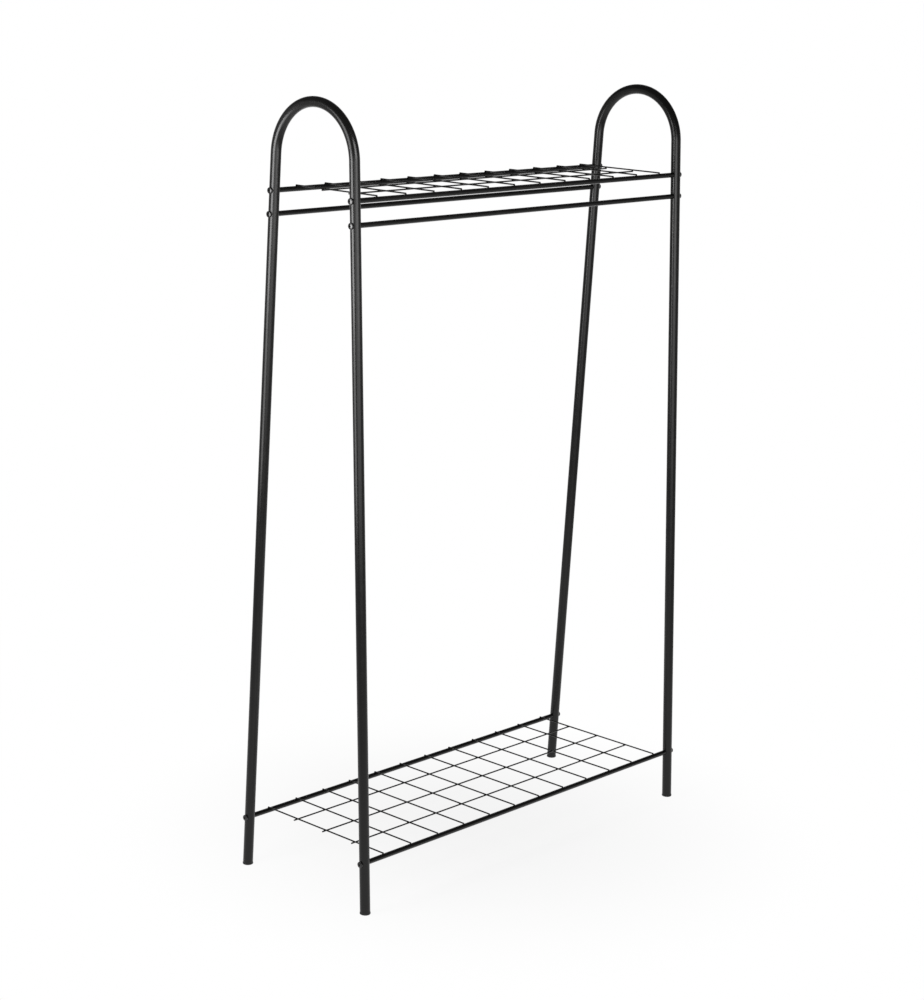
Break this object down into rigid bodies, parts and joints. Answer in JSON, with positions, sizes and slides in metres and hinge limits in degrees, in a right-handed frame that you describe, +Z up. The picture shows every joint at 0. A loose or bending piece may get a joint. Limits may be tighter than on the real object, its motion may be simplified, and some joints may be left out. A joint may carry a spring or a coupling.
{
  "type": "garment rack",
  "caption": "Free-standing tubular garment rack with arched end frames, hanging rails under an upper wire shelf, and a wider wire shelf near the floor.",
  "frame": {"origin": "on the floor, midway between the feet", "axes": "+Z up, +X along the rack's width, +Y from front to back"},
  "size_m": [0.9536, 0.357, 1.5298],
  "materials": {
    "black_coat": "satin black powder coat",
    "black_screw": "gloss black",
    "plated_steel": "zinc plated",
    "foot_plastic": "moulded black plastic"
  },
  "bodies": {
    "root": {"back_hanging_rail": "black_coat", "back_left_foot_cap": "foot_plastic", "back_lower_shelf_rail": "black_coat", "back_right_foot_cap": "foot_plastic", "back_upper_shelf_rail": "black_coat", "front_hanging_rail": "black_coat", "front_left_foot_cap": "foot_plastic", "front_lower_shelf_rail": "black_coat", "front_right_foot_cap": "foot_plastic", "front_upper_shelf_rail": "black_coat", "hanging_rail_plugs": "plated_steel", "hanging_rail_screws": "black_screw", "left_end_frame": "black_coat", "lower_shelf_cross_wire_01": "black_coat", "lower_shelf_cross_wire_02": "black_coat", "lower_shelf_cross_wire_03": "black_coat", "lower_shelf_cross_wire_04": "black_coat", "lower_shelf_cross_wire_05": "black_coat", "lower_shelf_cross_wire_06": "black_coat", "lower_shelf_cross_wire_07": "black_coat", "lower_shelf_cross_wire_08": "black_coat", "lower_shelf_cross_wire_09": "black_coat", "lower_shelf_cross_wire_10": "black_coat", "lower_shelf_cross_wire_11": "black_coat", "lower_shelf_cross_wire_12": "black_coat", "lower_shelf_long_wire_1": "black_coat", "lower_shelf_long_wire_2": "black_coat", "lower_shelf_long_wire_3": "black_coat", "lower_shelf_rail_plugs": "plated_steel", "lower_shelf_rail_screws": "black_screw", "right_end_frame": "black_coat", "upper_shelf_cross_wire_01": "black_coat", "upper_shelf_cross_wire_02": "black_coat", "upper_shelf_cross_wire_03": "black_coat", "upper_shelf_cross_wire_04": "black_coat", "upper_shelf_cross_wire_05": "black_coat", "upper_shelf_cross_wire_06": "black_coat", "upper_shelf_cross_wire_07": "black_coat", "upper_shelf_cross_wire_08": "black_coat", "upper_shelf_cross_wire_09": "black_coat", "upper_shelf_cross_wire_10": "black_coat", "upper_shelf_cross_wire_11": "black_coat", "upper_shelf_cross_wire_12": "black_coat", "upper_shelf_long_wire_1": "black_coat", "upper_shelf_long_wire_2": "black_coat", "upper_shelf_rail_plugs": "plated_steel", "upper_shelf_rail_screws": "black_screw"}
  },
  "joints": []
}
